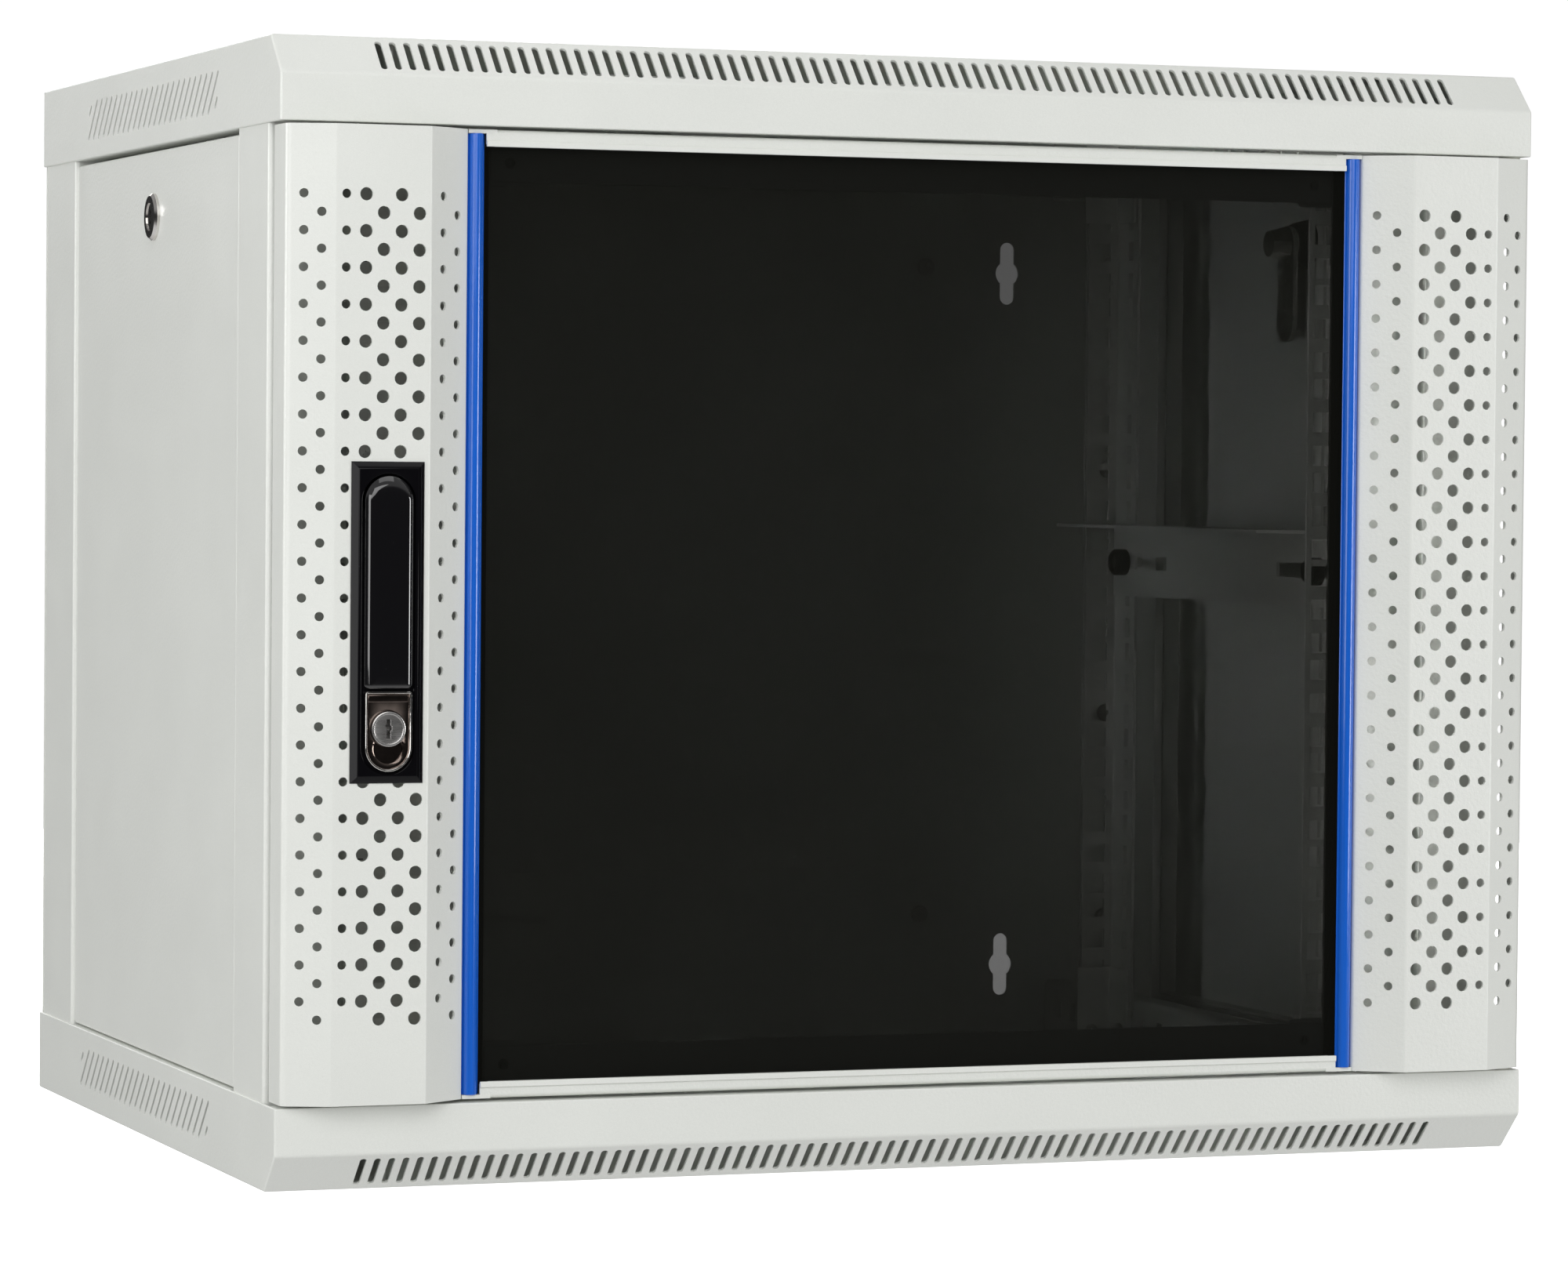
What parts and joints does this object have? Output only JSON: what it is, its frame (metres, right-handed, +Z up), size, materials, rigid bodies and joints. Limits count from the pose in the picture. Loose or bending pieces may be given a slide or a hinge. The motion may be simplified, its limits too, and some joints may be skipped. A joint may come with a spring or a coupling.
{
  "type": "network server rack cabinet",
  "caption": "Wall-hung 19 inch network cabinet: grey sheet-steel case, removable side panels, faceted perforated door with smoked glass, blue trim and a swing handle.",
  "frame": {"origin": "middle of the underside, halfway between the handle's front and the rear panel's back", "axes": "+X to the right facing the door, +Y from the door to the wall, +Z up"},
  "size_m": [0.6, 0.4648, 0.501],
  "materials": {
    "body_paint": "light warm grey powder coat, fine orange peel, semi-gloss",
    "inner_paint": "light grey powder coat, matt",
    "smoked_glass": "dark smoked tempered glass, polished",
    "foam_tape": "black closed-cell foam",
    "blue_trim": "bright blue lacquered extrusion, glossy",
    "black_gloss": "glossy black moulded plastic",
    "black_plastic": "matt black moulded plastic",
    "chrome": "bright plated die-casting",
    "zinc": "bright zinc plated steel",
    "nylon": "natural nylon"
  },
  "bodies": {
    "cabinet": {"top_cover": "body_paint", "bottom_cover": "body_paint", "rear_panel": "body_paint", "post_front_left": "body_paint", "post_front_right": "body_paint", "post_rear_left": "body_paint", "post_rear_right": "body_paint", "rear_cable_covers": "body_paint", "roof_cable_cover": "body_paint", "floor_cable_cover": "body_paint", "cable_cover_screws": "zinc", "rear_panel_screws": "zinc", "rack_rail_front_left": "inner_paint", "rack_rail_front_right": "inner_paint", "rack_rail_rear_left": "inner_paint", "rack_rail_rear_right": "inner_paint", "depth_rail_lower_left": "inner_paint", "depth_rail_lower_right": "inner_paint", "depth_rail_upper_left": "inner_paint", "depth_rail_upper_right": "inner_paint", "rail_feet": "inner_paint", "rail_screws": "zinc", "support_left": "inner_paint", "support_right": "inner_paint", "support_washers": "black_plastic", "support_screws": "zinc", "hinge_bushes": "nylon", "earth_stud": "zinc"},
    "door": {"door_wing_left": "body_paint", "door_wing_right": "body_paint", "door_rail_top": "body_paint", "door_rail_bottom": "body_paint", "door_corner_plates": "body_paint", "door_corner_screws": "zinc", "door_glass": "smoked_glass", "glass_tapes": "foam_tape", "trim_strip_left": "blue_trim", "trim_strip_right": "blue_trim", "handle_base": "black_gloss", "handle_clamps": "black_plastic", "lock_housing": "chrome", "hinge_pin_lower": "zinc", "hinge_bracket_upper": "zinc", "hinge_spring": "zinc"},
    "upper_hinge_pin": {"hinge_pin_upper": "zinc"},
    "handle_hub": {"handle_spindle": "zinc", "latch_tongue": "zinc", "lever_pin": "zinc"},
    "handle_lever": {"handle_lever": "black_gloss"},
    "door_lock": {"lock_cylinder": "chrome"},
    "left_side_panel": {"side_panel_left": "body_paint", "side_lock_housing_left": "chrome", "side_lock_nut_left": "black_plastic"},
    "right_side_panel": {"side_panel_right": "body_paint", "side_lock_housing_right": "chrome", "side_lock_nut_right": "black_plastic"},
    "left_panel_lock": {"side_lock_plug_left": "chrome", "side_lock_cam_left": "zinc"},
    "right_panel_lock": {"side_lock_plug_right": "chrome", "side_lock_cam_right": "zinc"}
  },
  "joints": [
    {"name": "door_hinge", "type": "hinge", "parent": "cabinet", "child": "door", "pos_m": [0.2927, -0.2096, 0.2505], "axis": [0, 0, 1], "range_deg": [0, 110]},
    {"name": "upper_hinge_pin_slide", "type": "slide", "parent": "door", "child": "upper_hinge_pin", "axis": [0, 0, -1], "range_m": [0, 0.0075], "stiffness_N_per_m": 800, "springref_m": -0.004, "deforming": ["hinge_spring"]},
    {"name": "handle_swing", "type": "hinge", "parent": "door", "child": "handle_hub", "pos_m": [-0.254, -0.2271, 0.3], "axis": [0, -1, 0], "range_deg": [0, 90]},
    {"name": "handle_lift", "type": "hinge", "parent": "handle_hub", "child": "handle_lever", "pos_m": [-0.254, -0.2261, 0.3], "axis": [-1, 0, 0], "range_deg": [0, 30]},
    {"name": "door_lock_turn", "type": "hinge", "parent": "door", "child": "door_lock", "pos_m": [-0.254, -0.2271, 0.202], "axis": [0, -1, 0], "range_deg": [0, 90]},
    {"name": "left_panel_slide", "type": "slide", "parent": "cabinet", "child": "left_side_panel", "axis": [-1, 0, 0], "range_m": [0, 0.06]},
    {"name": "right_panel_slide", "type": "slide", "parent": "cabinet", "child": "right_side_panel", "axis": [1, 0, 0], "range_m": [0, 0.06]},
    {"name": "left_panel_lock_turn", "type": "hinge", "parent": "left_side_panel", "child": "left_panel_lock", "pos_m": [-0.29, 0.014, 0.43], "axis": [-1, 0, 0], "range_deg": [0, 180]},
    {"name": "right_panel_lock_turn", "type": "hinge", "parent": "right_side_panel", "child": "right_panel_lock", "pos_m": [0.29, 0.014, 0.43], "axis": [1, 0, 0], "range_deg": [0, 180]}
  ]
}
